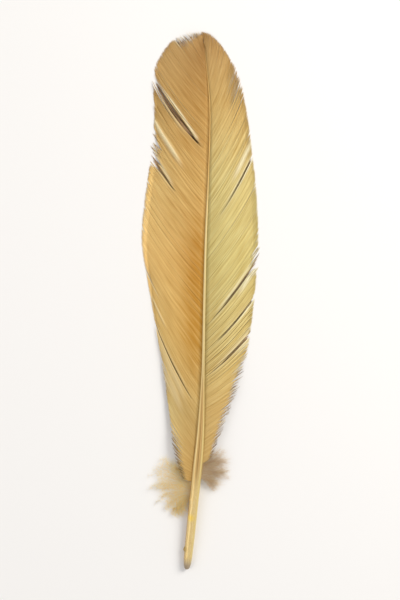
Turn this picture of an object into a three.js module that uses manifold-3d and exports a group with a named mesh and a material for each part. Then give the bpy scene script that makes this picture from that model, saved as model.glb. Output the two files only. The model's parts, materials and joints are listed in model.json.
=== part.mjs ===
// A gold-painted goose feather, lying smooth side up on a table, its tip towards +Y. Millimetres, +Z up.
// It has one shaft, two vanes of barbs that cling together in locks, and a tuft of down on each side
// where the vanes begin. The vanes arch from the shaft down to the table, where their edges lie flat.
import * as THREE from 'three';
import { mergeVertices } from 'three/addons/utils/BufferGeometryUtils.js';
import Module from 'manifold-3d';

const wasm = await Module();
wasm.setup();

// Overall sizes
const SHAFT_START_Y = -90; // the open end of the quill
const SHAFT_END_Y = 86; // the last of the shaft, just under the feather's tip
const QUILL_WALL = 0.32; // the bare quill is a hollow tube
const HOLLOW_END_Y = -60; // where the hollow stops and the solid shaft begins
const FIT_GAP = 0.3; // clearance that a vane or a tuft keeps from the shaft

// The shaft's middle line, as [x, z] at equal steps of Y from its start to its end
const SHAFT_LINE = [
  [-4.4, 1.22], [-2.15, 1.95], [0.05, 3.45], [1.0, 4.8], [1.4, 5.6],
  [1.9, 5.7], [2.75, 5.0], [3.2, 3.6], [1.4, 1.5],
];

// The shaft's section, as [y, half width, half height]: a round quill, then a shaft that tapers away
const SHAFT_SECTION = [
  [-90, 0.5, 0.5], [-89.5, 0.92, 0.88], [-88.4, 1.2, 1.16], [-86, 1.36, 1.32], [-80, 1.5, 1.46],
  [-58, 1.64, 1.6], [-46, 1.46, 1.4], [-24, 1.28, 1.18], [-2, 1.12, 1.02], [20, 0.96, 0.86],
  [42, 0.76, 0.68], [64, 0.5, 0.46], [80, 0.28, 0.26], [86, 0.12, 0.12],
];
const SHAFT_RINGS = [
  -90, -89.5, -88.4, -86, -83, -79, -74, -69, -64, -60, -56, -51, -46, -40, -34, -28, -22, -15, -8,
  -1, 6, 13, 20, 27, 34, 41, 48, 55, 62, 68, 74, 79, 83, 86,
];
const SHAFT_SIDES = 16;
const HOLLOW_SIDES = 12;
const HOLLOW_MOUTH_R = 0.34;
const GROOVE_DEPTH = 0.34; // share of the shaft's half height taken by the groove along its underside
const GROOVE_START_Y = -60;
const GROOVE_FULL_Y = -48;

// Guide barbs, foot to tip of the feather: [where it leaves the shaft in y, then its own tip's x, y, z]
const LEFT_GUIDES = [
  [-60.6, -6.0, -59.6, 2.5], [-56.1, -9.0, -51.0, 2.2], [-51.0, -10.2, -39.2, 1.5],
  [-45.1, -12.4, -24.5, 0.5], [-37.7, -14.9, -9.0, -0.4], [-24.5, -17.8, 7.2, -1.0],
  [-10.5, -19.7, 19.7, -1.2], [5.0, -18.9, 31.8, -1.2], [21.2, -16.9, 46.5, -1.2],
  [35.9, -15.5, 61.5, -1.0], [49.1, -15.9, 75.0, -0.6], [60.5, -13.4, 82.0, -0.2],
  [70.0, -9.5, 87.0, 0.1], [78.0, -4.6, 89.6, 0.3], [84.5, 0.4, 90.05, 0.3],
];
const RIGHT_GUIDES = [
  [-54.7, 3.9, -52.4, 2.7], [-45.1, 9.1, -38.8, 1.6], [-35.5, 13.3, -27.6, 0.6],
  [-25.9, 17.0, -11.2, -0.5], [-9.0, 19.52, 14.2, -1.2], [6.4, 19.45, 31.5, -1.2],
  [21.9, 17.8, 48.4, -1.2], [39.6, 15.7, 63.9, -1.0], [54.0, 12.6, 76.0, -0.5],
  [67.0, 8.2, 84.2, 0.0], [77.0, 3.9, 88.8, 0.3], [84.5, 1.2, 90.05, 0.3],
];
const LEFT_DOWN_GUIDES = [
  [-66.2, -6.0, -74.0, 0.6], [-65.3, -9.6, -73.0, 0.6], [-64.4, -13.6, -70.0, 0.5],
  [-63.6, -16.6, -65.6, 0.5], [-62.9, -17.4, -60.2, 0.6], [-62.2, -15.8, -54.6, 0.8],
];
const RIGHT_DOWN_GUIDES = [
  [-59.6, 4.4, -64.6, 0.6], [-58.4, 7.8, -61.6, 0.5], [-57.2, 9.6, -57.0, 0.7], [-56.2, 8.8, -52.4, 1.0],
];

// Where the locks part: at is the place along the guides, 0 to 1, from is how far out along the barbs
// the slit starts, and gap is its width in mm at the feather's edge
const LEFT_SLITS = [
  { at: 0.292, from: 0.2, gap: 1.6 }, { at: 0.375, from: 0.7, gap: 1.2 },
  { at: 0.583, from: 0.55, gap: 0.9 }, { at: 0.708, from: 0.1, gap: 2.2 },
  { at: 0.875, from: 0.75, gap: 1.3 }, { at: 0.917, from: 0.7, gap: 1.6 },
  { at: 0.958, from: 0.75, gap: 1.3 },
];
const RIGHT_SLITS = [
  { at: 0.091, from: 0.6, gap: 1.5 }, { at: 0.136, from: 0.5, gap: 1.6 },
  { at: 0.182, from: 0.65, gap: 1.5 }, { at: 0.227, from: 0.6, gap: 1.3 },
  { at: 0.273, from: 0.15, gap: 1.5 }, { at: 0.318, from: 0.25, gap: 1.1 },
  { at: 0.364, from: 0.15, gap: 1.4 }, { at: 0.545, from: 0.15, gap: 1.3 },
];
const PLAIN_SLIT = { from: 0.92, gap: 0.6 };
const DOWN_SLIT = { from: 0.3, gap: 3.2 };
const SLIT_LEAST = 0.3; // a slit's width in mm where it starts

// How each part made of locks is cut and shaped: lengths in mm, with fall, bow, thinning and notch as shares
const VANE = {
  plainSlit: PLAIN_SLIT, rootLift: 0.3, fall: 1.5, bow: 0.055, ridge: 0.62, border: 0.34, thinning: 0.55,
  notch: 0.02, shingle: 0.14, overlap: 0.7, spread: 160, along: 6,
};
const DOWN = {
  plainSlit: DOWN_SLIT, rootLift: -0.5, fall: 1.2, bow: -0.14, ridge: 1.3, border: 0.6, thinning: 0.6,
  notch: 0.2, shingle: 0.1, overlap: 0.5, spread: 24, along: 5,
};
const LOCK_ACROSS = 2; // steps across a lock, which puts a ridge down its middle
const RING_CROWDING = 1.3; // over 1, a lock's steps along its barbs get shorter towards their tips
const LEFT_LOCKS = 24;
const RIGHT_LOCKS = 22;
const LEFT_DOWN_LOCKS = 6;
const RIGHT_DOWN_LOCKS = 4;

// Locks that a slit has let lift off the table, as [lock number, rise in mm at its tip]
const LEFT_LIFTS = [[6, 0.6], [14, 0.7], [15, 1.2], [16, 1.1], [21, 0.5], [22, 0.8], [23, 0.3]];
const RIGHT_LIFTS = [[3, 0.6], [5, 0.4], [7, 0.8], [11, 0.7]];

const mix = THREE.MathUtils.lerp;
const ease = THREE.MathUtils.smoothstep;
const onTable = (z) => Math.max(z, 0);

// A row of a table whose first column is y, with its other columns interpolated
function rowAt(table, y) {
  const next = table.findIndex(([rowY]) => rowY >= y);
  if (next === 0) return table[0].slice(1);
  if (next < 0) return table[table.length - 1].slice(1);
  const [from, to] = [table[next - 1], table[next]];
  const share = (y - from[0]) / (to[0] - from[0]);
  return from.slice(1).map((value, column) => mix(value, to[column + 1], share));
}

function smoothCurve(points) {
  return new THREE.CatmullRomCurve3(points, false, 'catmullrom', 0.5);
}

// The shaft's middle line: its points are evenly spaced in Y, so Y grows evenly along the curve
const lineStep = (SHAFT_END_Y - SHAFT_START_Y) / (SHAFT_LINE.length - 1);
const shaftLine = smoothCurve(SHAFT_LINE.map(
  ([x, z], i) => new THREE.Vector3(x, SHAFT_START_Y + i * lineStep, z),
));

function shaftAt(y) {
  const share = (y - SHAFT_START_Y) / (SHAFT_END_Y - SHAFT_START_Y);
  const point = shaftLine.getPoint(THREE.MathUtils.clamp(share, 0, 1));
  const [halfWidth, halfHeight] = rowAt(SHAFT_SECTION, y);
  return { x: point.x, z: point.z, halfWidth, halfHeight };
}

// A closed solid for joining and cutting, from a three.js geometry
function toSolid(geometry) {
  const bare = geometry.clone();
  bare.deleteAttribute('normal');
  bare.deleteAttribute('uv');
  const merged = mergeVertices(bare, 1e-5);
  return new wasm.Manifold(new wasm.Mesh({
    numProp: 3,
    vertProperties: new Float32Array(merged.attributes.position.array),
    triVerts: new Uint32Array(merged.index.array),
  }));
}

function toGeometry(solid) {
  const { vertProperties, triVerts } = solid.getMesh();
  const geometry = new THREE.BufferGeometry();
  geometry.setAttribute('position', new THREE.BufferAttribute(vertProperties, 3));
  geometry.setIndex(new THREE.BufferAttribute(triVerts, 1));
  geometry.computeVertexNormals();
  return geometry;
}

function reshape(geometry, place) {
  const position = geometry.attributes.position;
  for (let i = 0; i < position.count; i += 1) {
    position.setXYZ(i, ...place(position.getX(i), position.getY(i), position.getZ(i)));
  }
  return geometry;
}

// A round bar with one ring of points at each of these places along the shaft
function barAlongShaft(rings, sides, radiiAt) {
  const bar = new THREE.CylinderGeometry(1, 1, 1, sides, rings.length - 1);
  return reshape(bar, (across, along, up) => {
    const y = rings[Math.round((along + 0.5) * (rings.length - 1))];
    const middle = shaftAt(y);
    const [width, height] = radiiAt(y, middle, across, up);
    return [middle.x + across * width, y, onTable(middle.z + up * height)];
  });
}

// The shaft: the outer form with its groove underneath, less the quill's hollow
function shaftSolid() {
  const outer = barAlongShaft(SHAFT_RINGS, SHAFT_SIDES, (y, middle, across, up) => {
    const groove = GROOVE_DEPTH * ease(y, GROOVE_START_Y, GROOVE_FULL_Y);
    const underneath = up < -0.95 ? groove : 0;
    return [middle.halfWidth, middle.halfHeight * (1 - underneath)];
  });
  const mouthRings = [SHAFT_START_Y - 0.4, SHAFT_START_Y + 0.5];
  const hollowRings = [...mouthRings, -88, -85, -80, -72, -65, HOLLOW_END_Y - 1, HOLLOW_END_Y];
  const hollow = barAlongShaft(hollowRings, HOLLOW_SIDES, (y, middle) => {
    if (y < SHAFT_START_Y + 1) return [HOLLOW_MOUTH_R, HOLLOW_MOUTH_R];
    const closing = y === HOLLOW_END_Y ? 0.3 : 1;
    return [(middle.halfWidth - QUILL_WALL) * closing, (middle.halfHeight - QUILL_WALL) * closing];
  });
  return toSolid(outer).subtract(toSolid(hollow));
}

// Where barbs run: u goes along the feather from guide to guide, and t out along the barb, 0 at the shaft
function barbField(guides, side, shape) {
  const tips = smoothCurve(guides.map(([, x, y, z]) => new THREE.Vector3(x, y, z)));
  const roots = smoothCurve(guides.map(([y]) => new THREE.Vector3(0, y, 0)));
  return (u, t) => {
    const place = THREE.MathUtils.clamp(u, 0, 1);
    const tip = tips.getPoint(place);
    const rootY = roots.getPoint(place).y;
    const middle = shaftAt(rootY);
    const root = new THREE.Vector3(
      middle.x + side * (middle.halfWidth + FIT_GAP), rootY, middle.z + shape.rootLift * middle.halfHeight,
    );
    const [runX, runY] = [tip.x - root.x, tip.y - root.y];
    const bend = new THREE.Vector3(
      (root.x + tip.x) / 2 + side * shape.bow * runY, (root.y + tip.y) / 2 - side * shape.bow * runX, 0,
    );
    const x = mix(mix(root.x, bend.x, t), mix(bend.x, tip.x, t), t);
    const y = mix(mix(root.y, bend.y, t), mix(bend.y, tip.y, t), t);
    return [x, y, mix(root.z, tip.z, t ** shape.fall)];
  };
}

// The borders between locks: evenly spaced, with each slit taking over the border nearest to it
function lockBorders(count, slits, plainSlit) {
  const borders = Array.from({ length: count + 1 }, () => plainSlit);
  slits.forEach((slit) => { borders[Math.round(slit.at * count)] = slit; });
  return borders;
}

// How far past its border a lock reaches at t: over its neighbour at first, then back from the slit
function reachPastBorder(border, t, shape) {
  if (t <= border.from) return shape.overlap;
  return -mix(SLIT_LEAST, border.gap, (t - border.from) / (1 - border.from)) / 2;
}

// One lock: a thin slab bent along its barbs, thickest down its middle, with its outer end notched
function lockSolid(field, side, shape, number, count, borders, lift) {
  const slab = new THREE.BoxGeometry(1, 1, 1, LOCK_ACROSS, shape.along, 1);
  reshape(slab, (boxX, boxY, boxZ) => {
    const across = side > 0 ? 0.5 - boxX : 0.5 + boxX;
    const fromMiddle = Math.abs(2 * across - 1);
    const t = (1 - (0.5 - boxY) ** RING_CROWDING) * (1 - shape.notch * fromMiddle ** 2);
    const low = number / count - reachPastBorder(borders[number], t, shape) / shape.spread;
    const high = (number + 1) / count + reachPastBorder(borders[number + 1], t, shape) / shape.spread;
    const [x, y, z] = field(mix(low, high, across), t);
    const thick = mix(shape.ridge, shape.border, fromMiddle) * mix(1, shape.thinning, t);
    const raised = z + lift * t ** 2 + shape.shingle * (across - 0.5);
    const bottom = onTable(raised - thick / 2);
    return [x, y, boxZ > 0 ? bottom + thick : bottom];
  });
  return toSolid(slab);
}

function joinedLocks(guides, side, shape, count, slits, lifts) {
  const field = barbField(guides, side, shape);
  const borders = lockBorders(count, slits, shape.plainSlit);
  const rises = new Map(lifts);
  return Array.from({ length: count }, (_, number) => (
    lockSolid(field, side, shape, number, count, borders, rises.get(number) ?? 0)
  )).reduce((whole, lock) => whole.add(lock));
}

// Finishes: gold paint over grey-brown keratin, thinner on the down
const paintedShaft = new THREE.MeshStandardMaterial({ color: 0xd2ab52, roughness: 0.38, metalness: 0.55 });
const paintedVane = new THREE.MeshStandardMaterial({ color: 0xc99c4e, roughness: 0.5, metalness: 0.5 });
const dustedDown = new THREE.MeshStandardMaterial({ color: 0xcdb98c, roughness: 0.8, metalness: 0.15 });

const feather = new THREE.Group();

function addPiece(name, solid, material) {
  const mesh = new THREE.Mesh(toGeometry(solid), material);
  mesh.name = name;
  feather.add(mesh);
}

const leftVane = joinedLocks(LEFT_GUIDES, -1, VANE, LEFT_LOCKS, LEFT_SLITS, LEFT_LIFTS);
const rightVane = joinedLocks(RIGHT_GUIDES, 1, VANE, RIGHT_LOCKS, RIGHT_SLITS, RIGHT_LIFTS);
const leftTuft = joinedLocks(LEFT_DOWN_GUIDES, -1, DOWN, LEFT_DOWN_LOCKS, [], []);
const rightTuft = joinedLocks(RIGHT_DOWN_GUIDES, 1, DOWN, RIGHT_DOWN_LOCKS, [], []);

addPiece('quill_shaft', shaftSolid(), paintedShaft);
addPiece('left_vane', leftVane, paintedVane);
addPiece('right_vane', rightVane, paintedVane);
addPiece('left_down_tuft', leftTuft, dustedDown);
addPiece('right_down_tuft', rightTuft, dustedDown);

export default feather;
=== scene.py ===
# %% [markdown]
# # A gold-painted goose feather
#
# A wing feather is one horny shaft with hundreds of barbs growing out of both its sides. Tiny hooks hold
# the barbs together as a vane, the hooks let go here and there, and the barbs part in slits and locks. Under
# the vane the barbs are loose down, and below that the shaft is a bare, hollow quill. This feather has been
# sprayed gold, and it lies on a pale table with its smooth side up, so the camera looks straight down.
#
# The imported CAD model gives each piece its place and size. Its vanes are closed sheets cut into locks, which
# is enough to carry a collision. Here they are replaced by barbs, one by one, along its guide lines.

# %% Tools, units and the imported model
import json
import math

import bpy
import numpy as np
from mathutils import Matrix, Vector

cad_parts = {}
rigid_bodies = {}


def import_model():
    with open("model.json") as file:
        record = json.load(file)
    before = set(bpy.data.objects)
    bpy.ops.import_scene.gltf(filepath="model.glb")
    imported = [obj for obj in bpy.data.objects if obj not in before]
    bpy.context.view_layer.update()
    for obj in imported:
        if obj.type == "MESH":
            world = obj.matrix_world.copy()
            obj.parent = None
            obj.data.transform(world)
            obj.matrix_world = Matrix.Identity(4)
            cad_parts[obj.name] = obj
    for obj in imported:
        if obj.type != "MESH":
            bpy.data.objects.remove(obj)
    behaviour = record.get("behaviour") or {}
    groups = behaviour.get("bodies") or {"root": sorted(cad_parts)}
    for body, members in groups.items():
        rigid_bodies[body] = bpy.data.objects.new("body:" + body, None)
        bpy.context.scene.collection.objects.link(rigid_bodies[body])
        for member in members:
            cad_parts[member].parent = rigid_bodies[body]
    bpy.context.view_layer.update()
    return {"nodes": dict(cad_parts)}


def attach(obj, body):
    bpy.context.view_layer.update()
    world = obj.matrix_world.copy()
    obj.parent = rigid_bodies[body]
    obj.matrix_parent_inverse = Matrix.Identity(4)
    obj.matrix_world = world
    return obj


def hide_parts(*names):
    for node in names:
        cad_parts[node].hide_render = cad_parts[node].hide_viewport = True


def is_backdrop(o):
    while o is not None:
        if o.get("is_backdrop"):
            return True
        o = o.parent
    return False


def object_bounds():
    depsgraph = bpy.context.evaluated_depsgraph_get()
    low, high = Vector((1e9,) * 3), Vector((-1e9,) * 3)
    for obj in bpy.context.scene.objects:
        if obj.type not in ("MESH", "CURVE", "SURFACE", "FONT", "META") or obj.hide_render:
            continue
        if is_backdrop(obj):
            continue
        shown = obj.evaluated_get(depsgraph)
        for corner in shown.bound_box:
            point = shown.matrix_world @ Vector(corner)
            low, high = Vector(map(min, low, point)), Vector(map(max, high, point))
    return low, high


MM = 0.001
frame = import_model()
print("packed nodes:", sorted(frame["nodes"]))

# %% [markdown]
# A few helpers serve every cell. Colours are read off a screen and turned into the linear values that a
# renderer adds up. Nodes are added one by one: a keyword that is the node's own setting is set, and the
# values go into the node's live inputs in order, or by name. A value is a number, a socket, or another node,
# which stands for its first live output. None leaves an input as it is. Three settings come back so often
# that they have names.

# %% Helpers for colours, nodes and objects
VECTOR = {"data_type": "FLOAT_VECTOR"}
COLOURS = {"data_type": "RGBA"}
SMOOTH = {"interpolation_type": "SMOOTHSTEP"}


def colour(hex_code):
    parts = [int(hex_code[i:i + 2], 16) / 255 for i in (1, 3, 5)]
    return [p / 12.92 if p <= 0.04045 else ((p + 0.055) / 1.055) ** 2.4 for p in parts] + [1.0]


def fill(tree, node, inputs):
    """Set or link a node's inputs, each given by its name or number."""
    for name, value in inputs.items():
        if isinstance(value, bpy.types.Node):
            value = next(output for output in value.outputs if output.enabled)
        if isinstance(value, bpy.types.NodeSocket):
            tree.links.new(value, node.inputs[name])
        elif value is not None:
            node.inputs[name].default_value = value


def add(tree, kind, *values, named=None, **settings):
    node = tree.nodes.new(kind)
    for name, value in settings.items():
        setattr(node, name, value)
    live = [number for number, socket in enumerate(node.inputs) if socket.enabled]
    fill(tree, node, dict(zip(live, values)) | (named or {}))
    return node


def put_in_scene(name, data):
    thing = bpy.data.objects.new(name, data)
    bpy.context.scene.collection.objects.link(thing)
    return thing


print("a mid gold in linear values:", [round(c, 3) for c in colour("#C8A055")[:3]])

# %% [markdown]
# ## The shaft's line
#
# Everything hangs on the shaft, so its middle line and its section come first, with the CAD model's values.
# The line bends a little to one side and rises in a low arch, because a feather at rest touches the table
# with its vane edges and its two ends. A Catmull-Rom spline passes through each of its own points, which
# keeps the numbers easy to read: they are places on the real feather.

# %% Shaft line and section, in millimetres
SHAFT_START_Y, SHAFT_END_Y = -90.0, 86.0

# The middle line, as [x, z] at equal steps of Y
SHAFT_LINE = [
    [-4.4, 1.22], [-2.15, 1.95], [0.05, 3.45], [1.0, 4.8], [1.4, 5.6],
    [1.9, 5.7], [2.75, 5.0], [3.2, 3.6], [1.4, 1.5],
]
# The section, as [y, half width, half height]
SHAFT_SECTION = [
    [-90, 0.5, 0.5], [-89.5, 0.92, 0.88], [-88.4, 1.2, 1.16], [-86, 1.36, 1.32], [-80, 1.5, 1.46],
    [-58, 1.64, 1.6], [-46, 1.46, 1.4], [-24, 1.28, 1.18], [-2, 1.12, 1.02], [20, 0.96, 0.86],
    [42, 0.76, 0.68], [64, 0.5, 0.46], [80, 0.28, 0.26], [86, 0.12, 0.12],
]


def smooth_curve(points, share):
    """Points on a Catmull-Rom spline, for shares from 0 at its first point to 1 at its last."""
    points = np.asarray(points, float)
    ends = np.vstack([2 * points[0] - points[1], points, 2 * points[-1] - points[-2]])
    place = np.clip(share, 0, 1) * (len(points) - 1)
    step = np.minimum(place.astype(int), len(points) - 2)
    f = (place - step)[..., None]
    a, b, c, d = (ends[step + i] for i in range(4))
    return 0.5 * (2 * b + (c - a) * f + (2 * a - 5 * b + 4 * c - d) * f**2 + (3 * b - a - 3 * c + d) * f**3)


def ease(value, low, high):
    """0 below low, 1 above high, and a smooth step between."""
    share = np.clip((np.asarray(value, float) - low) / (high - low), 0, 1)
    return share * share * (3 - 2 * share)


def shaft_at(y):
    """The shaft's middle x and z and its half width and half height, at each y."""
    y = np.asarray(y, float)
    line = smooth_curve(SHAFT_LINE, (y - SHAFT_START_Y) / (SHAFT_END_Y - SHAFT_START_Y))
    at_y, half_width, half_height = np.array(SHAFT_SECTION).T
    return line[..., 0], line[..., 1], np.interp(y, at_y, half_width), np.interp(y, at_y, half_height)


print("shaft height over the table in mm:", np.round(shaft_at(np.array([-88.0, 0.0, 40.0]))[1], 2))

# %% [markdown]
# ## The shaft and quill
#
# A goose's quill is round and hollow, and it opens in a small hole at its end. Where the vanes begin, it
# turns into a solid shaft that is squarer, with a groove along its underside, flanks for the barbs to grow
# from, and a narrow crest that stays bare between the two vanes. One loft can hold all of that: rings run
# down the outside, turn in over the rim of the hole, and run back up the hollow to close it, so the quill
# has a real wall. Writing the ring as a formula keeps the small things in reach: the groove, a crease on
# top, and the beads of dried paint near the end.

# %% Rings of the shaft and of its hollow
SHAFT_SIDES = 40
QUILL_WALL = 0.32
# The hollow: the radius of its mouth, where it ends, and the length over which that end is rounded
HOLLOW_MOUTH_R, HOLLOW_END_Y, HOLLOW_ROUNDED = 0.34, -60.0, 6.0
# Dried beads of paint, as [y, angle round the quill in degrees, length, height], and their width in radians
BEADS = [[-83.2, 172, 0.7, 0.5], [-72.0, 122, 1.3, 0.16], [-66.5, 150, 0.5, 0.2]]
BEAD_WIDTH = 0.42


def crest_share(y):
    """How far the shaft's top has narrowed to a crest: 0 on the quill, 1 where the vanes are full."""
    return ease(y, -56, -18)


def ring_of_shaft(y, angles):
    """One outer ring: a circle on the quill that grows squarer, grooved and crested up the shaft."""
    x, z, half_width, half_height = shaft_at(y)
    across, up = np.cos(angles), np.sin(angles)
    squareness = 2.0 + 0.9 * ease(y, -62, -46)
    size = (np.abs(across) ** squareness + np.abs(up) ** squareness) ** (-1 / squareness)
    groove = 0.34 * ease(y, -60, -48) * np.exp(-((across / 0.34) ** 2)) * (up < 0)
    crease_depth = 0.16 * ease(y, -66, -50) * (1 - ease(y, -34, -16))
    crease = crease_depth * np.exp(-(((across + 0.05) / 0.17) ** 2)) * (up > 0)
    crest = 1 - 0.56 * crest_share(y) * ease(up, 0.0, 0.45)
    bead = sum(
        height * np.exp(-(((y - bead_y) / length) ** 2) - ((angles - math.radians(turn)) / BEAD_WIDTH) ** 2)
        for bead_y, turn, length, height in BEADS
    )
    return np.stack([
        x + across * size * half_width * crest + across * bead,
        np.full_like(angles, y),
        z + up * size * half_height * (1 - groove - crease) + up * bead,
    ], -1)


def ring_of_hollow(y, angles):
    """One ring of the hollow, in from the outside by the quill's wall."""
    x, z, half_width, half_height = shaft_at(y)
    mouth = 1 - ease(y, -89.6, -88.2)
    closing = min(1.0, math.sqrt(max(0.0, (HOLLOW_END_Y - y) / HOLLOW_ROUNDED)))
    wide, high = [
        (half - QUILL_WALL) * (1 - mouth) + HOLLOW_MOUTH_R * mouth for half in (half_width, half_height)
    ]
    return np.stack([
        x + np.cos(angles) * wide * closing,
        np.full_like(angles, y),
        z + np.sin(angles) * high * closing,
    ], -1)


print("wall of the quill in mm:", QUILL_WALL)


# %% Shaft and quill as one lofted skin
def skin_rings(name, rings, **ring_values):
    """A closed mesh through rings of equal length, with a pole at each end, and values kept per ring."""
    rings = np.array(rings)
    count, sides = rings.shape[:2]
    points = np.vstack([rings.reshape(-1, 3), rings[0].mean(0), rings[-1].mean(0)])
    faces = [
        (r * sides + s, r * sides + (s + 1) % sides, (r + 1) * sides + (s + 1) % sides, (r + 1) * sides + s)
        for r in range(count - 1) for s in range(sides)
    ]
    faces += [(count * sides, (s + 1) % sides, s) for s in range(sides)]
    last = (count - 1) * sides
    faces += [(count * sides + 1, last + s, last + (s + 1) % sides) for s in range(sides)]
    mesh = bpy.data.meshes.new(name)
    mesh.from_pydata(points * MM, [], faces)
    for key, values in ring_values.items():
        layer = mesh.attributes.new(key, "FLOAT", "POINT")
        on_points = np.append(values.ravel(), [values[0].mean(), values[-1].mean()])
        layer.data.foreach_set("value", on_points.astype(np.float32))
    mesh.shade_smooth()
    return put_in_scene(name, mesh)


# The rings lie closer together where the shape turns fast
angles = np.linspace(0, 2 * math.pi, SHAFT_SIDES, endpoint=False)
outer_y = np.concatenate([
    np.linspace(SHAFT_END_Y, -60, 120), np.linspace(-60.8, -86, 64), np.linspace(-86.3, -89.4, 14),
    [-89.7, -89.9, -90],
])
inner_y = np.concatenate([
    [-89.98, -89.8, -89.4, -88.9, -88.2, -87], np.linspace(-85, -66, 14), np.linspace(-65.4, -60.05, 12),
])
rings = [ring_of_shaft(y, angles) for y in outer_y] + [ring_of_hollow(y, angles) for y in inner_y]
is_hollow = np.repeat([[0.0], [1.0]], [len(outer_y), len(inner_y)], 0)
feather_shaft = skin_rings(
    "feather_shaft", rings,
    hollow=is_hollow * np.ones(SHAFT_SIDES), around=np.cos(angles) * np.ones((len(rings), 1)),
)
print("shaft faces:", len(feather_shaft.data.polygons))

# %% [markdown]
# ## The vanes' guide sheets
#
# A barb leaves the side of the shaft, runs out and towards the tip, and curves as it goes. A few guide barbs
# say where they run along the feather, and every other barb lies between them. The guides are the CAD
# model's, but for the last one of each vane, which leans over so that the barbs close the feather's tip. So
# each vane is first a bare sheet with two directions of its own: u goes from the foot of the vane to its
# tip, and t goes out along the barbs, from 0 at the shaft to 1 at the edge. The sheet is never seen. It only
# tells the barbs where to lie, and it is cut where locks of barbs part.
#
# Beyond place, the sheet carries what a barb has to know at each point: how much room the barbs have, how
# far out they reach, how loose they are, how the paint took, and where highlights are painted on. Where a
# slit is open, the lock on the far side runs on under its neighbour, as on a real feather, and the spray
# didn't reach there; its bare keratin is drawn dark, as painted shade in the slit.

# %% What each vane is like
# Both vanes share: their length in mm, how far the barbs' feet follow the shaft's crest, how high on the
# shaft's side they start in half heights, the power of their fall to the table, and how far they bow in
# plan as a share of their length
VANE_SHAPE = {"room": 160, "crest": 1.0, "foot": 0.3, "fall": 1.5, "bow": 0.055}
LEFT_VANE = {
    **VANE_SHAPE, "side": -1, "locks": 24,
    # Guide barbs: [where it leaves the shaft in y, then its own tip's x, y, z]
    "guides": [
        [-60.6, -6.0, -59.6, 2.5], [-56.1, -9.0, -51.0, 2.2], [-51.0, -10.2, -39.2, 1.5],
        [-45.1, -12.4, -24.5, 0.5], [-37.7, -14.9, -9.0, -0.4], [-24.5, -17.8, 7.2, -1.0],
        [-10.5, -19.7, 19.7, -1.2], [5.0, -18.9, 31.8, -1.2], [21.2, -16.9, 46.5, -1.2],
        [35.9, -15.5, 61.5, -1.0], [49.1, -15.9, 75.0, -0.6], [60.5, -13.4, 82.0, -0.2],
        [70.0, -9.5, 87.0, 0.1], [78.0, -4.6, 89.6, 0.3], [84.5, 1.1, 90.05, 0.3],
    ],
    # Slits by the lock above them: where along the barbs they open and close, their gap in mm midway and
    # at the edge, and how strong a painted highlight the rim of their far side has
    "slits": {
        7: (0.1, 1.2, 0.7, 0.6, 0.4), 9: (0.7, 1.3, 0.5, 0.9, 0.6), 14: (0.5, 1.3, 0.9, 1.8, 1.0),
        17: (0.12, 0.97, 2.1, 0.3, 1.3), 21: (0.78, 1.4, 0.6, 1.2, 0.5), 22: (0.72, 1.4, 0.8, 1.6, 0.8),
        23: (0.78, 1.4, 0.6, 1.2, 0.5),
    },
    # How far a lock's outer end lifts, in mm
    "lifts": {6: 0.6, 14: 0.9, 15: 1.2, 16: 0.9, 21: 0.5, 22: 0.8, 23: 0.3},
    # Barbs that stand up as a low fold with a painted highlight on it: [lock, place in it, half width, where
    # it starts and ends along the barbs, how high it stands and how strong its painted highlight is]
    "folds": [
        [15, 0.3, 0.13, 0.36, 1.0, 1.0], [16, 0.9, 0.08, 0.3, 0.8, 0.5], [8, 0.15, 0.1, 0.55, 1.0, 0.6],
        [6, 0.6, 0.5, 0.2, 1.0, 0.4], [5, 0.6, 0.7, 0.3, 1.0, 0.4],
    ],
    # Loose patches, as [u, its half width, how far out they start, how loose from 0 to 1]
    "loose": [
        [0.0, 0.17, 0.4, 1.0], [0.22, 0.05, 0.8, 0.5], [0.6, 0.03, 0.86, 0.8], [0.71, 0.025, 0.3, 0.55],
        [0.93, 0.07, 0.74, 1.0], [0.99, 0.03, 0.8, 0.8],
    ],
    # How much further a loose barb reaches, as a share of its length
    "fray": 0.02,
    # Stretches of the edge with a painted highlight, as if they curled up to the light, as [u, its half width,
    # how bright]
    "painted_highlights": [[0.4, 0.13, 0.15], [0.935, 0.08, 0.7]],
}
RIGHT_VANE = {
    **VANE_SHAPE, "side": 1, "locks": 22,
    "guides": [
        [-54.7, 3.9, -52.4, 2.7], [-45.1, 9.1, -38.8, 1.6], [-35.5, 13.3, -27.6, 0.6],
        [-25.9, 17.0, -11.2, -0.5], [-9.0, 19.52, 14.2, -1.2], [6.4, 19.45, 31.5, -1.2],
        [21.9, 17.8, 48.4, -1.2], [39.6, 15.7, 63.9, -1.0], [54.0, 12.6, 76.0, -0.5],
        [67.0, 8.2, 84.2, 0.0], [77.0, 3.9, 88.8, 0.3], [84.5, 0.5, 90.05, 0.3],
    ],
    "slits": {
        2: (0.6, 1.4, 0.5, 1.2, 0.2), 3: (0.5, 1.4, 0.6, 1.4, 0.2), 4: (0.65, 1.4, 0.5, 1.3, 0.2),
        5: (0.6, 1.4, 0.5, 1.1, 0.3), 6: (0.1, 1.25, 0.6, 0.8, 0.5), 7: (0.18, 1.1, 0.42, 0.2, 0.2),
        8: (0.08, 1.25, 0.72, 0.9, 0.6), 12: (0.2, 1.2, 0.6, 0.3, 0.4),
    },
    "lifts": {3: 0.6, 5: 0.4, 7: 0.8, 11: 0.7},
    "folds": [
        [12, 0.6, 0.14, 0.45, 1.0, 0.7], [7, 0.85, 0.1, 0.5, 1.0, 0.8], [5, 0.85, 0.1, 0.6, 1.0, 0.5],
    ],
    "loose": [
        [0.0, 0.2, 0.5, 0.95], [0.16, 0.11, 0.7, 1.0], [0.37, 0.025, 0.85, 0.6], [0.72, 0.07, 0.45, 0.3],
    ],
    "fray": 0.07,
    "painted_highlights": [],
}
print("locks in the vanes:", LEFT_VANE["locks"], "and", RIGHT_VANE["locks"])


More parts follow.
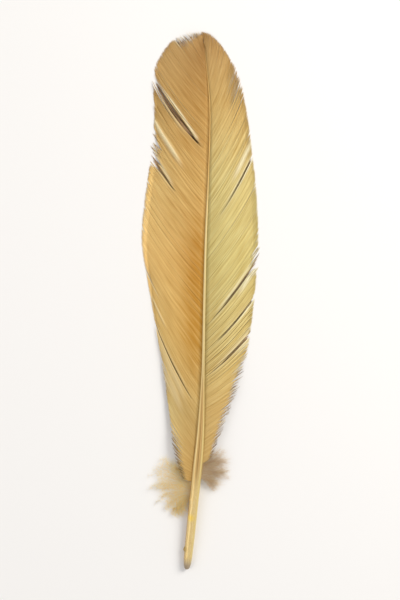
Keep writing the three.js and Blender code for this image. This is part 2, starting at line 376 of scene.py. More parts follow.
# %% Where the barbs of a vane run
def barb_field(vane, u, t):
    """The place of each point (u, t), in mm: barbs are flat bows in plan that fall from shaft to table."""
    side, guides = vane["side"], np.array(vane["guides"])
    tip = smooth_curve(guides[:, 1:], u)
    root_y = smooth_curve(guides[:, :1], u)[..., 0]
    x, z, half_width, half_height = shaft_at(root_y)
    crest = vane["crest"] * crest_share(root_y)
    foot_x = x + side * half_width * (0.9 - 0.52 * crest)
    foot_z = z + half_height * (vane["foot"] + 0.3 * crest)
    root = np.stack([foot_x, root_y, foot_z], -1)
    run = tip - root
    bend = (root + tip) / 2 + vane["bow"] * side * np.stack([run[..., 1], -run[..., 0], 0 * u], -1)
    t = t[..., None]
    place = (root * (1 - t) + bend * t) * (1 - t) + (bend * (1 - t) + tip * t) * t
    place[..., 2] = (root + run * np.clip(t, 0, 2) ** vane["fall"])[..., 2]
    return place


def border_of_lock(vane, border, out):
    """The gap in mm at a lock's border, how strong the painted highlight on its far rim is, and 1 where the
    gap is a slit.
    """
    nick = (0.9, 1.4, 0.12, 0.5, 0.0)
    opens, closes, middle, edge, rim_highlight = vane["slits"].get(border, nick)
    share = np.clip((out - opens) / (closes - opens), 0, 1)
    gap = middle * np.sin(math.pi * share) ** 0.75 + edge * ease(out, max(opens, 0.8), 1.02)
    rim_highlight = rim_highlight * (1 - ease(out, closes - 0.35, closes))
    return gap, rim_highlight, float(border in vane["slits"] and 0 < border < vane["locks"])


def fold_in_lock(vane, lock, c, out):
    """How far the barbs of a lock stand up as a fold, from 0 to 1."""
    fold = np.zeros_like(c)
    for folded, centre, half, start, end, strength in vane["folds"]:
        if folded == lock:
            long = ease(out, start, start + 0.25) * (1 - ease(out, end - 0.02, end + 0.05))
            fold = np.maximum(fold, strength * long * np.exp(-(((c - centre) / half) ** 2)))
    return fold


def looseness(vane, u, out):
    """How loose the barbs are at a point, and how frayed the vane's edge is there."""
    loose, frayed = np.zeros_like(u), np.zeros_like(u)
    for centre, half, start, strength in vane["loose"]:
        zone = strength * ease(np.clip(1 - np.abs(u - centre) / half, 0, 1), 0, 0.6)
        loose = np.maximum(loose, zone * ease(out, start - 0.12, min(1.0, start + 0.3)))
        frayed = np.maximum(frayed, zone)
    return loose, frayed


widest = barb_field(LEFT_VANE, np.array([0.5]), np.array([1.0]))[0]
print("left edge half way up the vane in mm:", np.round(widest, 1))


# %% One lock of a guide sheet
# A lock's points across it and along its barbs. The rows run a little past the shaft and the barbs' tips
SHEET_COLUMNS, SHEET_ROWS = 13, 58
SHEET_START, SHEET_END = -0.03, 1.11
# The lowest that the sheet comes to the table, in mm
LEAST_Z = 0.12


def lock_of_sheet(vane, lock):
    """One lock's points in mm, and what its barbs need there."""
    locks, room = vane["locks"], vane["room"]
    columns = np.linspace(0, 1, SHEET_COLUMNS)
    c, t = np.meshgrid(columns, np.linspace(SHEET_START, SHEET_END, SHEET_ROWS), indexing="ij")
    out = np.clip(t, 0, 1)
    low_gap, low_rim_highlight, low_slit = border_of_lock(vane, lock, out)
    high_gap, high_rim_highlight, high_slit = border_of_lock(vane, lock + 1, out)

    # What is tucked under the neighbour, the edge raised over the next slit, and the painted highlight on the
    # far rim
    shadow = 1.1 * low_gap / (room / locks)
    tucked = low_slit * (1 - ease(c, 0.65 * shadow, 1.1 * shadow + 0.03)) * np.clip(low_gap / 0.3, 0, 1)
    opened = np.clip(high_gap / 0.3, 0, 1) * (0.25 + 0.75 * ease(out, 0.5, 0.95))
    raised = high_slit * ease(c, 0.86, 1.0) * opened
    rim_highlight = np.exp(-(((c - 1.1 * shadow - 0.1) / (0.05 + 0.02 * low_rim_highlight)) ** 2))
    rim_highlight = low_rim_highlight * low_slit * (rim_highlight * np.clip(low_gap / 0.4 - 0.5, 0, 1))
    fold = fold_in_lock(vane, lock, c, out)
    low = lock / locks + (0.5 - 1.05 * low_slit) * low_gap / room
    high = (lock + 1) / locks - 0.5 * high_gap / room
    u = low + (high - low) * c
    flat_u = (lock + c) / locks

    def lifted(u_at, t_at):
        place = barb_field(vane, u_at, t_at)
        lift = vane["lifts"].get(lock, 0) * np.clip(t_at, 0, 2) ** 3.2 * (0.3 + 0.7 * c)
        tilt = 0.08 * (c - 0.5) * np.clip(t_at, 0, 1)
        place[..., 2] += lift + tilt - 0.5 * tucked + 0.14 * raised + 0.45 * fold
        place[..., 2] = np.maximum(place[..., 2], LEAST_Z - 0.05 * tucked)
        return place

    # The sheet's upward side, and the room across the barbs, from small steps along u and t
    along = (lifted(u, t + 0.01) - lifted(u, t - 0.01)) / 0.02
    across = (barb_field(vane, u + 0.004, t) - barb_field(vane, u - 0.004, t)) / 0.008
    normal = np.cross(across, along)
    normal *= np.sign(normal[..., 2:]) / np.linalg.norm(normal, axis=-1, keepdims=True)
    heading = along / np.linalg.norm(along, axis=-1, keepdims=True)
    spread = np.linalg.norm(across - (across * heading).sum(-1, keepdims=True) * heading, axis=-1)
    loose, frayed = looseness(vane, flat_u, out)
    reach = 1 - 0.08 * low_slit * (1 - ease(c, 0.0, 0.2)) + vane["fray"] * frayed

    # How the paint took, what it missed, and the painted highlights on raised edges, far rims and folds
    missed = tucked * (0.6 + 0.4 * np.clip(low_gap / 1.6, 0, 1))
    edge_highlight = raised * np.clip(1.15 - 0.6 * high_rim_highlight, 0.2, 1)
    painted_highlight = np.maximum.reduce([edge_highlight, rim_highlight, fold])
    # Painted highlight on stretches of the edge, as if they curled up to the light
    for centre, half, strength in vane["painted_highlights"]:
        curled = strength * ease(1 - np.abs(flat_u - centre) / half, 0, 0.4) * ease(out, 0.84, 0.96)
        painted_highlight = np.maximum(painted_highlight, curled)
    return {
        "here": lifted(u, t),
        "place": np.stack([flat_u, t, 0 * t], -1),
        "up": normal,
        "build": np.stack([spread * MM, reach, loose], -1),
        "paint": np.stack([missed, painted_highlight, loose], -1),
    }


print("points in one lock of a sheet:", SHEET_COLUMNS * SHEET_ROWS)


# %% Guide sheets for the vanes
def guide_sheet(name, vane):
    """The vane's unseen sheet as a mesh, cut between its locks, with what the barbs need on its points."""
    locks = [lock_of_sheet(vane, lock) for lock in range(vane["locks"])]
    kept = {key: np.vstack([lock[key].reshape(-1, 3) for lock in locks]) for key in locks[0]}
    corners = [
        (lock * SHEET_COLUMNS + column) * SHEET_ROWS + row
        for lock in range(len(locks)) for column in range(SHEET_COLUMNS - 1) for row in range(SHEET_ROWS - 1)
    ]
    faces = [(a, a + SHEET_ROWS, a + SHEET_ROWS + 1, a + 1) for a in corners]
    mesh = bpy.data.meshes.new(name)
    mesh.from_pydata(kept.pop("here") * MM, [], faces)
    for key, values in kept.items():
        layer = mesh.attributes.new(key, "FLOAT_VECTOR", "POINT")
        layer.data.foreach_set("vector", values.astype(np.float32).ravel())
    return mesh


left_sheet = guide_sheet("left_vane_sheet", LEFT_VANE)
right_sheet = guide_sheet("right_vane_sheet", RIGHT_VANE)
print("points on the guide sheets:", len(left_sheet.vertices), len(right_sheet.vertices))

# %% [markdown]
# ## A tree that lays out barbs
#
# Some 350 barbs a side all follow one rule, so Geometry Nodes can make them. The first tree only finds where
# each barb runs. It makes a row of points for every barb, looks up each one's place on the guide sheet, and
# leaves on it what the next trees need. A barb has luck of its own: a small shift, a shorter or longer
# tip, and where the sheet says that the hooks have let go, a pull towards a neighbour, so that loose
# barbs gather in pointed wisps. No barb may stray out of its own lock, or it would jump a slit.

# %% A new tree, and what a barb's points carry
CARRIED = {
    "heading": "FLOAT_VECTOR", "up": "FLOAT_VECTOR", "paint": "FLOAT_VECTOR",
    "half_width": "FLOAT", "taper": "FLOAT", "out": "FLOAT", "tone": "FLOAT", "from_foot": "FLOAT",
}


def new_tree(name, inputs, result):
    """A tree with named inputs, each (name, kind) or (name, kind, default), and one geometry as its result."""
    tree = bpy.data.node_groups.new(name, "GeometryNodeTree")
    for label, kind, *default in inputs:
        socket = tree.interface.new_socket(label, in_out="INPUT", socket_type="NodeSocket" + kind)
        if default:
            socket.default_value = default[0]
    tree.interface.new_socket(result, in_out="OUTPUT", socket_type="NodeSocketGeometry")
    return tree, add(tree, "NodeGroupInput").outputs


lines, given = new_tree("Where barbs run", [
    ("Sheet", "Geometry"), ("Barbs", "Int", 350), ("Steps", "Int", 30), ("Locks", "Int", 24),
    ("Overlap", "Float", 1.2), ("Widest", "Float", 0.4 * MM), ("Wander", "Float", 0.3 * MM),
    ("Curl", "Float", 0.0), ("Wisp", "Float", 4.0), ("Uneven", "Float", 0.16), ("Seed", "Int", 3),
], "Points")
print("inputs of the tree that lays out barbs:", [socket.name for socket in given if socket.name])

# %% Barbs in the tree: a row of points each, and their luck
rows_per_barb = add(lines, "ShaderNodeMath", given["Steps"], 1.0, operation="ADD")
how_many = add(lines, "ShaderNodeMath", rows_per_barb, given["Barbs"], operation="MULTIPLY")
cloud = add(lines, "GeometryNodePoints", how_many)
index = add(lines, "GeometryNodeInputIndex")
barb = add(lines, "ShaderNodeMath", index, rows_per_barb, operation="DIVIDE")
barb = add(lines, "ShaderNodeMath", barb, operation="FLOOR")
step = add(lines, "ShaderNodeMath", index, rows_per_barb, operation="MODULO")
out_raw = add(lines, "ShaderNodeMath", step, given["Steps"], operation="DIVIDE")

luck = {}
for number, (label, low, high) in enumerate([
    ("shift", -0.22, 0.22), ("shortness", 0.0, 1.0), ("stray", -1.0, 1.0), ("height", -1.0, 1.0),
    ("tone", -1.0, 1.0),
]):
    seed = add(lines, "ShaderNodeMath", given["Seed"], float(number * 17), operation="ADD")
    luck[label] = add(lines, "FunctionNodeRandomValue", low, high, barb, seed)
own_u = add(lines, "ShaderNodeMath", barb, 0.5, operation="ADD")
own_u = add(lines, "ShaderNodeMath", own_u, luck["shift"], operation="ADD")
own_u = add(lines, "ShaderNodeMath", own_u, given["Barbs"], operation="DIVIDE")
print("a barb's luck:", list(luck))

# %% How far out each point is, from what the sheet says
position = add(lines, "GeometryNodeInputPosition")
on_sheet = {
    name: add(lines, "GeometryNodeInputNamedAttribute", name, **VECTOR)
    for name in ("place", "build", "up", "paint")
}
at = add(lines, "ShaderNodeCombineXYZ", own_u, 0.5, 0.0)
room = add(
    lines, "GeometryNodeSampleUVSurface", given["Sheet"], on_sheet["build"], on_sheet["place"], at, **VECTOR,
)
reach = add(lines, "ShaderNodeSeparateXYZ", room).outputs["Y"]
to_go = add(lines, "ShaderNodeMath", 1.0, out_raw, operation="SUBTRACT")
to_go = add(lines, "ShaderNodeMath", to_go, 1.25, operation="POWER")
crowded = add(lines, "ShaderNodeMath", 1.0, to_go, operation="SUBTRACT")
full_out = add(lines, "ShaderNodeMath", crowded, reach, operation="MULTIPLY")
at = add(lines, "ShaderNodeCombineXYZ", own_u, full_out, 0.0)
room = add(
    lines, "GeometryNodeSampleUVSurface", given["Sheet"], on_sheet["build"], on_sheet["place"], at, **VECTOR,
)
spread, _, loose = add(lines, "ShaderNodeSeparateXYZ", room).outputs

# Loose barbs end unevenly, the others almost in line
most_short = add(lines, "ShaderNodeMath", loose, given["Uneven"], 0.012, operation="MULTIPLY_ADD")
short = add(lines, "ShaderNodeMath", luck["shortness"], most_short, operation="MULTIPLY")
cut = add(lines, "ShaderNodeMath", 1.0, short, operation="SUBTRACT")
out = add(lines, "ShaderNodeMath", full_out, cut, operation="MULTIPLY")
print("read from the sheet:", list(on_sheet))

# %% Where loose, barbs gather towards the middle of their wisp, and stray
wisp = add(lines, "ShaderNodeMath", barb, given["Wisp"], operation="DIVIDE")
wisp = add(lines, "ShaderNodeMath", wisp, operation="FLOOR")
wisp = add(lines, "ShaderNodeMath", wisp, 0.5, operation="ADD")
wisp = add(lines, "ShaderNodeMath", wisp, given["Wisp"], operation="MULTIPLY")
wisp_middle = add(lines, "ShaderNodeMath", wisp, given["Barbs"], operation="DIVIDE")
late = add(lines, "ShaderNodeMapRange", out, 0.35, 1.0, 0.0, 1.0, **SMOOTH)
pull = add(lines, "ShaderNodeMath", loose, late, operation="MULTIPLY")
most_pull = add(lines, "ShaderNodeMath", pull, 0.7, operation="MULTIPLY")
gathered = add(lines, "ShaderNodeMix", most_pull, own_u, wisp_middle)
some_spread = add(lines, "ShaderNodeMath", spread, 1e-5, operation="MAXIMUM")
stray_room = add(lines, "ShaderNodeMath", given["Wander"], some_spread, operation="DIVIDE")
stray_far = add(lines, "ShaderNodeMath", out, 2.0, operation="POWER")
stray_far = add(lines, "ShaderNodeMath", stray_far, stray_room, operation="MULTIPLY")
stray_share = add(lines, "ShaderNodeMath", loose, 0.9, 0.12, operation="MULTIPLY_ADD")
stray_far = add(lines, "ShaderNodeMath", stray_far, stray_share, operation="MULTIPLY")
strayed = add(lines, "ShaderNodeMath", luck["stray"], stray_far, gathered, operation="MULTIPLY_ADD")

# But each stays inside its own lock
lock = add(lines, "ShaderNodeMath", own_u, given["Locks"], operation="MULTIPLY")
lock = add(lines, "ShaderNodeMath", lock, operation="FLOOR")
borders = []
for inside in (0.02, 0.98):
    border = add(lines, "ShaderNodeMath", lock, inside, operation="ADD")
    borders.append(add(lines, "ShaderNodeMath", border, given["Locks"], operation="DIVIDE"))
final_u = add(lines, "ShaderNodeClamp", strayed, *borders)
print("nodes so far:", len(lines.nodes))

# %% Look up place, direction, upward side and paint there
found = {}
for label, value, u, shift in [
    ("here", position, final_u, 0.0), ("ahead", position, final_u, 0.012),
    ("behind", position, final_u, -0.012), ("up", on_sheet["up"], final_u, 0.0),
    ("paint", on_sheet["paint"], final_u, 0.0), ("foot", position, own_u, None),
]:
    t = 0.0 if shift is None else add(lines, "ShaderNodeMath", out, shift, operation="ADD")
    at = add(lines, "ShaderNodeCombineXYZ", u, t, 0.0)
    found[label] = add(
        lines, "GeometryNodeSampleUVSurface", given["Sheet"], value, on_sheet["place"], at, **VECTOR,
    )
from_foot = add(lines, "ShaderNodeVectorMath", found["here"], found["foot"], operation="DISTANCE")
heading = add(lines, "ShaderNodeVectorMath", found["ahead"], found["behind"], operation="SUBTRACT")
heading = add(lines, "ShaderNodeVectorMath", heading, operation="NORMALIZE")

# Loose barbs also leave the sheet a little, and down curls, but turns up again where it meets the table.
# The curl's noise mixes bends of every size, from 200 mm down to kinks that are finer than a step
off_sheet = add(lines, "ShaderNodeMath", pull, 0.35 * MM, 0.02 * MM, operation="MULTIPLY_ADD")
height = add(lines, "ShaderNodeMath", luck["height"], off_sheet, operation="MULTIPLY")
rise = add(lines, "ShaderNodeVectorMath", found["up"], height, operation="SCALE")
raised = add(lines, "ShaderNodeVectorMath", found["here"], rise, operation="ADD")
own_noise = add(lines, "ShaderNodeCombineXYZ", barb, 0.0, barb)
own_noise = add(lines, "ShaderNodeVectorMath", found["here"], own_noise, operation="ADD")
own_noise = add(lines, "ShaderNodeTexNoise", own_noise, 5.0, 15.0, 1.0).outputs["Color"]
curl = add(lines, "ShaderNodeVectorMath", own_noise, (0.5, 0.5, 0.5), operation="SUBTRACT")
how_curled = add(lines, "ShaderNodeMath", given["Curl"], out, operation="MULTIPLY")
curl = add(lines, "ShaderNodeVectorMath", curl, how_curled, operation="SCALE")
curled = add(lines, "ShaderNodeVectorMath", raised, curl, operation="ADD")
x, y, z = add(lines, "ShaderNodeSeparateXYZ", curled).outputs
z = add(lines, "ShaderNodeMath", z, 0.05 * MM, operation="SUBTRACT")
z = add(lines, "ShaderNodeMath", z, operation="ABSOLUTE")
z = add(lines, "ShaderNodeMath", z, 0.05 * MM, operation="ADD")
final_place = add(lines, "ShaderNodeCombineXYZ", x, y, z)
print("looked up for each point:", list(found))

# %% Each barb tapers to its tip, and is no wider than its room
room = add(lines, "ShaderNodeMath", spread, given["Barbs"], operation="DIVIDE")
room = add(lines, "ShaderNodeMath", room, 0.5, operation="MULTIPLY")
room = add(lines, "ShaderNodeMath", room, given["Overlap"], operation="MULTIPLY")
taper = add(lines, "ShaderNodeMapRange", out_raw, 1.0, 0.9, 0.04, 1.0)
taper = add(lines, "ShaderNodeMath", taper, 0.7, operation="POWER")
thinner = add(lines, "ShaderNodeMath", pull, 0.62, operation="MULTIPLY")
thinner = add(lines, "ShaderNodeMath", 1.0, thinner, operation="SUBTRACT")
half_width = add(lines, "ShaderNodeMath", room, given["Widest"], operation="MINIMUM")
half_width = add(lines, "ShaderNodeMath", half_width, taper, operation="MULTIPLY")
half_width = add(lines, "ShaderNodeMath", half_width, thinner, operation="MULTIPLY")

placed = add(lines, "GeometryNodeSetPosition", cloud, None, final_place)
for name, value in {
    "heading": heading, "up": found["up"], "paint": found["paint"], "half_width": half_width, "taper": taper,
    "out": out, "tone": luck["tone"], "from_foot": from_foot,
}.items():
    placed = add(
        lines, "GeometryNodeStoreNamedAttribute", placed, None, name, value, data_type=CARRIED[name],
    )
add(lines, "NodeGroupOutput", placed)
print("nodes that lay out barbs:", len(lines.nodes))

# %% [markdown]
# ## A tree that gives barbs their body
#
# Seen close to, a barb is a thin rib with a flat fringe on both sides, so its section is a low ridge with
# thin edges. Sweeping a profile along a curve would do, but a swept profile turns with the curve, and these
# have to lie flat in the vane. So one straight bar is copied to every barb and made real, and then each of
# its points looks up the line that it belongs to and moves there.

# %% A bar for every barb, which looks up its line
bodies, given = new_tree("Bodies on barb lines", [
    ("Points", "Geometry"), ("Barbs", "Int", 350), ("Steps", "Int", 30), ("Sides", "Int", 4),
    ("Ridge", "Float", 0.12 * MM), ("Sharpness", "Float", 2.0), ("Table", "Float", 0.01 * MM),
], "Mesh")
bar = add(
    bodies, "GeometryNodeMeshCylinder", given["Sides"], given["Steps"], 1, 1.0, 1.0,
    fill_type="TRIANGLE_FAN",
)
one_each = add(bodies, "GeometryNodePoints", given["Barbs"])
copies = add(bodies, "GeometryNodeInstanceOnPoints", one_each, None, bar)
index = add(bodies, "GeometryNodeInputIndex")
numbered = add(bodies, "GeometryNodeStoreNamedAttribute", copies, None, "barb", index, domain="INSTANCE")
real = add(bodies, "GeometryNodeRealizeInstances", numbered)

position = add(bodies, "GeometryNodeInputPosition")
bar_x, bar_y, bar_z = add(bodies, "ShaderNodeSeparateXYZ", position).outputs
barb = add(bodies, "GeometryNodeInputNamedAttribute", "barb")
step = add(bodies, "ShaderNodeMath", bar_z, 0.5, operation="ADD")
step = add(bodies, "ShaderNodeMath", step, given["Steps"], operation="MULTIPLY")
step = add(bodies, "ShaderNodeMath", step, operation="ROUND")
rows_per_barb = add(bodies, "ShaderNodeMath", given["Steps"], 1.0, operation="ADD")
row = add(bodies, "ShaderNodeMath", barb, rows_per_barb, step, operation="MULTIPLY_ADD")
line = {}
for name, kind in {"position": "FLOAT_VECTOR", **CARRIED}.items():
    value = position
    if name != "position":
        value = add(bodies, "GeometryNodeInputNamedAttribute", name, data_type=kind)
    line[name] = add(bodies, "GeometryNodeSampleIndex", given["Points"], value, row, data_type=kind)
print("each point of a bar looks up:", list(line))

# %% The rib and its fringes
# Pressing the round bar's points towards its two axes makes a rib with thin edges
pressed = []
for part, power in [(bar_x, 1.2), (bar_y, given["Sharpness"])]:
    size = add(bodies, "ShaderNodeMath", part, operation="ABSOLUTE")
    grown = add(bodies, "ShaderNodeMath", size, power, operation="POWER")
    pressed.append(add(bodies, "ShaderNodeMath", part, grown, operation="MULTIPLY"))
sideways = add(bodies, "ShaderNodeVectorMath", line["heading"], line["up"], operation="CROSS_PRODUCT")
sideways = add(bodies, "ShaderNodeVectorMath", sideways, operation="NORMALIZE")
half = add(bodies, "ShaderNodeMath", pressed[0], line["half_width"], operation="MULTIPLY")
move_across = add(bodies, "ShaderNodeVectorMath", sideways, half, operation="SCALE")
rise = add(bodies, "ShaderNodeMath", pressed[1], given["Ridge"], operation="MULTIPLY")
rise = add(bodies, "ShaderNodeMath", rise, line["taper"], operation="MULTIPLY")

# Each barb leans a little, so that its edge lies over the next one's
lean = add(bodies, "ShaderNodeMath", bar_x, -0.16, operation="MULTIPLY")
leaning = add(bodies, "ShaderNodeMath", lean, line["half_width"], rise, operation="MULTIPLY_ADD")
move_up = add(bodies, "ShaderNodeVectorMath", line["up"], leaning, operation="SCALE")
bent = add(bodies, "ShaderNodeVectorMath", line["position"], move_across, operation="ADD")
bent = add(bodies, "ShaderNodeVectorMath", bent, move_up, operation="ADD")
x, y, z = add(bodies, "ShaderNodeSeparateXYZ", bent).outputs
z = add(bodies, "ShaderNodeMath", z, given["Table"], operation="MAXIMUM")
final_place = add(bodies, "ShaderNodeCombineXYZ", x, y, z)

# The values for the paint go on before the points move, because the row is read from where they start
grain_x = add(bodies, "ShaderNodeMath", bar_x, 0.5, barb, operation="MULTIPLY_ADD")
grain_y = add(bodies, "ShaderNodeMath", line["from_foot"], 1 / MM, operation="MULTIPLY")
grain = add(bodies, "ShaderNodeCombineXYZ", grain_x, grain_y, bar_x)
labelled = add(bodies, "GeometryNodeStoreNamedAttribute", real, None, "paint", line["paint"], **VECTOR)
labelled = add(bodies, "GeometryNodeStoreNamedAttribute", labelled, None, "out", line["out"])
labelled = add(bodies, "GeometryNodeStoreNamedAttribute", labelled, None, "tone", line["tone"])
labelled = add(bodies, "GeometryNodeStoreNamedAttribute", labelled, None, "grain", grain, **VECTOR)
shaped = add(bodies, "GeometryNodeSetPosition", labelled, None, final_place)
add(bodies, "NodeGroupOutput", add(bodies, "GeometryNodeSetShadeSmooth", shaped))
print("nodes that give barbs a body:", len(bodies.nodes))

# %% [markdown]
# ## The two vanes
#
# The tree for a vane is now short: lay out the lines, give them bodies, make everything real and set the
# material. An input is set on the modifier before the object is ever evaluated. The result is copied
# out as a plain mesh, because what leaves Blender carries no modifiers.

# %% Tree for a vane, and a function that turns a tree's result into a piece
vane_tree, given = new_tree("Vane of barbs", [
    ("Sheet", "Geometry"), ("Barbs", "Int"), ("Steps", "Int"), ("Locks", "Int"), ("Overlap", "Float"),
    ("Wander", "Float"), ("Ridge", "Float"), ("Seed", "Int"), ("Finish", "Material"),
], "Mesh")
laid = add(vane_tree, "GeometryNodeGroup", node_tree=lines, named={
    name: given[name] for name in ("Sheet", "Barbs", "Steps", "Locks", "Overlap", "Wander", "Seed")
})
bodied = add(vane_tree, "GeometryNodeGroup", node_tree=bodies, named={
    "Points": laid, "Barbs": given["Barbs"], "Steps": given["Steps"], "Ridge": given["Ridge"],
})
whole = add(vane_tree, "GeometryNodeRealizeInstances", bodied)
add(vane_tree, "NodeGroupOutput", add(vane_tree, "GeometryNodeSetMaterial", whole, None, given["Finish"]))


def grow(name, sheet, tree, material, **values):
    """A plain mesh piece from a guide sheet and a tree, with the tree's named inputs set first."""
    source = put_in_scene(name + "_source", sheet)
    modifier = source.modifiers.new("Grow", "NODES")
    modifier.node_group = tree
    values["Finish"] = material
    for item in tree.interface.items_tree:
        if item.in_out == "INPUT" and item.name in values:
            modifier[item.identifier] = values[item.name]
    evaluated = source.evaluated_get(bpy.context.evaluated_depsgraph_get())
    mesh = bpy.data.meshes.new_from_object(evaluated)
    mesh.name = name
    for extra in ("barb", "place", "up", "build", "heading", "half_width", "taper", "from_foot"):
        if extra in mesh.attributes:
            mesh.attributes.remove(mesh.attributes[extra])
    bpy.data.objects.remove(source)
    print(name, "triangles:", sum(len(face.vertices) - 2 for face in mesh.polygons))
    return put_in_scene(name, mesh)


# %% [markdown]
# ## The paint on the barbs
#
# Craft feathers are sprayed with gold: tiny flakes of metal in a thin binder over grey-brown keratin. The
# flakes lie every way, so the coat shines broadly, with no sharp mirror. It looks warmer where it is thick
# and faces up, and paler and greener where it lies at a slant. That is painted in too: the right vane gets a
# paler, greener gold as painted light, and the left vane a warmer one as painted shade. The spray doesn't
# reach under a neighbouring lock, and where loose barbs turned away from it the mauve-brown of the feather
# shows.
#
# The colour is mixed from a ramp along the feather, from streaks along the barbs, from each barb's own
# small difference, from painted shade beside the shaft and painted light over the outer half, and from
# painted highlights on raised edges, rims and folds. Barbs carry their own attributes, so all of it follows
# the feather.

# %% Material: gold spray paint on barbs
# The fringes of a barb are combed towards its tip, 0.03 mm apart in life, drawn at 0.18 mm so that they show
FRINGE_APART = 0.18


def new_finish(name, uniform):
    """A material, its nodes and its surface shader, with the values that are the same all over set on it."""
    material = bpy.data.materials.new(name)
    material.use_nodes = True
    surface = material.node_tree.nodes["Principled BSDF"]
    fill(material.node_tree, surface, uniform)
    return material, material.node_tree, surface


def painted_barbs(name, foot_to_tip, edge, shade_near_shaft, outer_half_light):
    """Gold in the colours foot_to_tip, with painted shade near the shaft, painted light further out, and
    painted highlights in the colour edge at raised edges.
    """
    material, tree, surface = new_finish(name, {"Specular IOR Level": 0.3})
    spot = add(tree, "ShaderNodeTexCoord").outputs["Object"]
    along_feather = add(tree, "ShaderNodeSeparateXYZ", spot).outputs["Y"]
    out = add(tree, "ShaderNodeAttribute", attribute_name="out").outputs["Fac"]
    tone = add(tree, "ShaderNodeAttribute", attribute_name="tone").outputs["Fac"]
    grain = add(tree, "ShaderNodeAttribute", attribute_name="grain").outputs["Vector"]
    paint = add(tree, "ShaderNodeAttribute", attribute_name="paint").outputs["Vector"]
    missed, painted_highlight, loose = add(tree, "ShaderNodeSeparateXYZ", paint).outputs

    # Streaks along the barbs, the strongest about a barb wide and 7 mm long
    slender = add(tree, "ShaderNodeMapping", grain, None, None, (0.3, 0.045, 0.0))
    streaks = add(tree, "ShaderNodeTexNoise", slender, 5.0, 1.0, 3.0, 0.6)
    shade = add(tree, "ShaderNodeMath", streaks, 0.7, 0.15, operation="MULTIPLY_ADD")
    shade = add(tree, "ShaderNodeMath", tone, 0.1, shade, operation="MULTIPLY_ADD")

    # Painted shade next to the shaft, where the vane dips, and a painted change of light over the outer half
    begins = add(tree, "ShaderNodeMapRange", along_feather, -34 * MM, -10 * MM, 0.25, 1.0, **SMOOTH)
    ends = add(tree, "ShaderNodeMapRange", along_feather, 8 * MM, 38 * MM, 1.0, 0.15, **SMOOTH)
    middle = add(tree, "ShaderNodeMath", begins, ends, operation="MULTIPLY")
    painted_shade_beside = add(tree, "ShaderNodeMapRange", out, 0.45, 0.1, 0.0, shade_near_shaft, **SMOOTH)
    painted_shade_beside = add(tree, "ShaderNodeMath", painted_shade_beside, middle, operation="MULTIPLY")
    shade = add(tree, "ShaderNodeMath", shade, painted_shade_beside, operation="SUBTRACT")
    painted_outer_light = add(tree, "ShaderNodeMapRange", out, 0.3, 0.9, 0.0, outer_half_light, **SMOOTH)
    shade = add(tree, "ShaderNodeMath", shade, painted_outer_light, operation="ADD", use_clamp=True)

    # The colour of the coat changes from the foot of the vane to its tip
    coat_place = add(tree, "ShaderNodeMapRange", along_feather, -62 * MM, 90 * MM, 0.0, 1.0)
    ramp = add(tree, "ShaderNodeValToRGB", coat_place)
    stops = ramp.color_ramp.elements
    stops[0].color, stops[1].color = colour(foot_to_tip[0]), colour(foot_to_tip[-1])
    for number, code in enumerate(foot_to_tip[1:-1], 1):
        stops.new(number / (len(foot_to_tip) - 1)).color = colour(code)
    # The shade value moves the coat between a darker and a paler one, so the painted shade and light above
    # show in its colour
    darker = add(tree, "ShaderNodeMix", 0.9, ramp, colour("#C4A468"), **COLOURS, blend_type="MULTIPLY")
    paler = add(tree, "ShaderNodeMix", 0.3, ramp, colour(edge), **COLOURS)
    shaded = add(tree, "ShaderNodeMix", shade, darker, paler, **COLOURS)

    # Painted highlights on raised edges, rims and folds, and what is tucked away or loose shows the bare
    # feather
    highlight_share = add(tree, "ShaderNodeMath", painted_highlight, 0.9, operation="MULTIPLY")
    lit = add(tree, "ShaderNodeMix", highlight_share, shaded, colour(edge), **COLOURS)
    finer = add(tree, "ShaderNodeMapping", grain, None, None, (0.9, 0.35, 0.0))
    split = add(tree, "ShaderNodeTexNoise", finer, 5.0, 1.0, 1.0)
    opened = add(tree, "ShaderNodeMapRange", out, 0.5, 0.98, 0.05, 0.3, **SMOOTH)
    opened = add(tree, "ShaderNodeMath", loose, opened, operation="MULTIPLY")
    opened = add(tree, "ShaderNodeMath", split, opened, operation="ADD")
    opened = add(tree, "ShaderNodeMapRange", opened, 0.62, 0.7, 0.0, 0.9)
    unhooked = add(tree, "ShaderNodeMapRange", loose, 0.25, 0.5, 0.0, 1.0)
    thin = add(tree, "ShaderNodeMath", opened, unhooked, operation="MULTIPLY")
    unlit = add(tree, "ShaderNodeMapRange", painted_highlight, 0.0, 0.7, 1.0, 0.1)
    thin = add(tree, "ShaderNodeMath", thin, unlit, operation="MULTIPLY")
    hidden = add(tree, "ShaderNodeMapRange", missed, 0.1, 0.55, 0.0, 1.0)
    speckled = add(tree, "ShaderNodeMapRange", split, 0.5, 0.62, 1.0, 0.25)
    hidden = add(tree, "ShaderNodeMath", hidden, speckled, operation="MULTIPLY")
    bare = add(tree, "ShaderNodeMath", hidden, thin, operation="MAXIMUM")

    # Bare keratin runs from dark brown to mauve in strong streaks. Its near-black end is painted shade in
    # the slits, and where less of a tucked strip is hidden it is darkened further, as painted shade
    mauve = add(tree, "ShaderNodeMapRange", out, 0.25, 0.85, -0.3, 0.5)
    strong = add(tree, "ShaderNodeMapRange", streaks, 0.36, 0.64, -0.2, 1.0, clamp=False)
    mauve = add(tree, "ShaderNodeMath", strong, mauve, operation="ADD", use_clamp=True)
    slit_shade = add(tree, "ShaderNodeMapRange", missed, 0.55, 0.95, 0.3, 1.0)
    mauve = add(tree, "ShaderNodeMath", mauve, slit_shade, operation="MULTIPLY")
    keratin = add(tree, "ShaderNodeMix", mauve, colour("#36190A"), colour("#D2AC84"), **COLOURS)
    coat = add(tree, "ShaderNodeMix", bare, lit, keratin, **COLOURS)
    metal = add(tree, "ShaderNodeMapRange", bare, 0.0, 0.6, 0.35, 0.0)

    # Flakes of every size, down to 0.006 mm, make the gloss waver a little
    flakes = add(tree, "ShaderNodeTexNoise", spot, 5.0, 15.0, 1.0)
    gloss = add(tree, "ShaderNodeMapRange", flakes, 0.3, 0.7, 0.38, 0.6)

